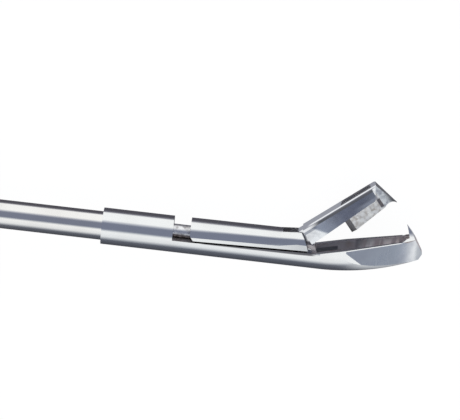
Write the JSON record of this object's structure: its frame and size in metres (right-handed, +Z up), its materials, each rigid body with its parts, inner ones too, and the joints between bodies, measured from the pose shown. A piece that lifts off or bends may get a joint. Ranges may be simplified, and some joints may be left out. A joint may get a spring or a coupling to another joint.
{
  "type": "cervical biopsy forceps",
  "caption": "Stainless punch biopsy forceps: slim tubular shaft, half-round slider that closes a hollow toothed upper jaw into a spoon-shaped toothed lower jaw, ring handle with leaf springs.",
  "frame": {"origin": "on the flat side of the handle's head block, straight below the shaft axis, the forceps lying on its side", "axes": "+X along the shaft to the tip, +Y the way the upper jaw opens, +Z up, square to the flat side of the handle"},
  "size_m": [0.2561, 0.0879, 0.0074],
  "materials": {
    "polished_steel": "polished stainless steel with satin ground facets",
    "jaw_steel": "polished stainless steel, ground hollow",
    "slider_steel": "polished stainless steel",
    "rod_steel": "drawn stainless steel rod",
    "tube_steel": "polished drawn stainless steel tube",
    "bush_steel": "turned stainless steel",
    "pin_steel": "ground stainless steel pin",
    "handle_steel": "satin stainless steel",
    "socket_steel": "polished turned stainless steel",
    "screw_steel": "turned stainless steel",
    "spring_steel": "spring-tempered stainless steel"
  },
  "bodies": {
    "shaft_and_handle": {"lower_jaw_body": "polished_steel", "jaw_pivot_pin": "pin_steel", "rod_guide_bush": "bush_steel", "outer_tube": "tube_steel", "shaft_socket": "socket_steel", "shaft_set_screw": "screw_steel", "fixed_handle": "handle_steel", "lever_pivot_screw": "screw_steel", "lever_washers": "bush_steel", "stop_screw": "screw_steel", "stop_lock_nut": "screw_steel", "fixed_leaf_spring": "spring_steel", "fixed_leaf_screw": "screw_steel"},
    "pusher": {"drive_rod": "rod_steel", "slider": "slider_steel", "slider_link_pin": "pin_steel", "rod_cross_pin": "pin_steel", "rod_end_block": "handle_steel", "rod_lock_nut": "screw_steel", "drive_pin": "pin_steel"},
    "jaw": {"upper_jaw": "jaw_steel"},
    "lever": {"lever_handle": "handle_steel", "lever_leaf_spring": "spring_steel", "lever_leaf_screw": "screw_steel"}
  },
  "joints": [
    {"name": "lever_turn", "type": "hinge", "parent": "shaft_and_handle", "child": "lever", "pos_m": [-0.00385, -0.00848, 0.0037], "axis": [0, 0, -1], "range_deg": [0, 8.3], "stiffness_Nm_per_rad": 1.5, "springref_deg": -8.59, "deforming": ["fixed_leaf_spring", "lever_leaf_spring"]},
    {"name": "rod_slide", "type": "slide", "parent": "shaft_and_handle", "child": "pusher", "axis": [1, 0, 0], "range_m": [0, 0.0013]},
    {"name": "jaw_turn", "type": "hinge", "parent": "shaft_and_handle", "child": "jaw", "pos_m": [0.188, 0.0003, 0.0037], "axis": [0, 0, -1], "range_deg": [0, 28.05]}
  ],
  "couplings": [
    {"joint": "rod_slide", "follows": "lever_turn", "m_per_rad": 0.0089467},
    {"joint": "jaw_turn", "follows": "lever_turn", "ratio": 3.3735}
  ]
}
